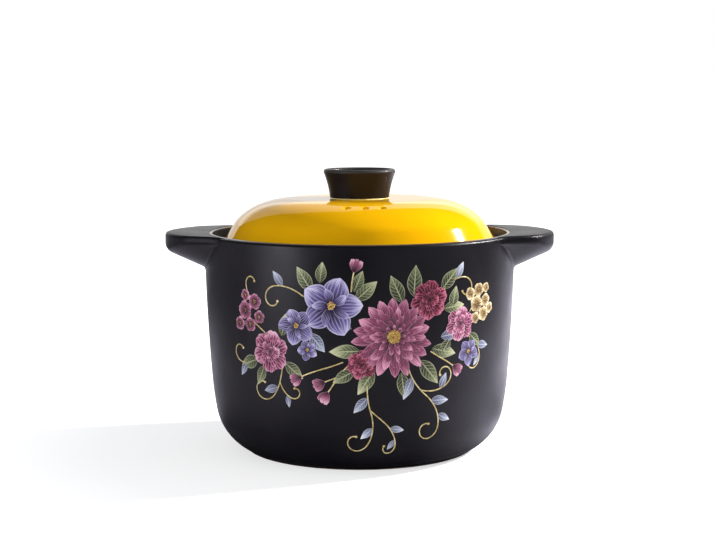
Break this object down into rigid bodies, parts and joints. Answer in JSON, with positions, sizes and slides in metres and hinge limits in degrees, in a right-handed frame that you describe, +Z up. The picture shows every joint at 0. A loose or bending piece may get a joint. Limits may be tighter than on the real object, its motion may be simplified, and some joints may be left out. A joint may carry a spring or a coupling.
{
  "type": "lidded clay pot",
  "caption": "Tall round clay casserole with ledge handles at the rim, a turned foot ring, and a glazed dome lid that drops into a seat and lifts off by a flared cup knob.",
  "frame": {"origin": "centre of the foot ring, on the plane the pot stands on", "axes": "+Z up along the axis of the pot, X through the two handles, -Y towards the decorated side and the steam holes"},
  "size_m": [0.2986, 0.2374, 0.2145],
  "materials": {
    "pot_glaze": "satin black glaze",
    "lid_glaze": "glossy yellow glaze",
    "knob_glaze": "satin dark brown glaze"
  },
  "bodies": {
    "pot": {"pot_body": "pot_glaze", "left_handle": "pot_glaze", "right_handle": "pot_glaze"},
    "cover": {"lid": "lid_glaze", "lid_knob": "knob_glaze"}
  },
  "joints": [
    {"name": "lid_lift", "type": "slide", "parent": "pot", "child": "cover", "axis": [0, 0, 1], "range_m": [0, 0.12]}
  ]
}
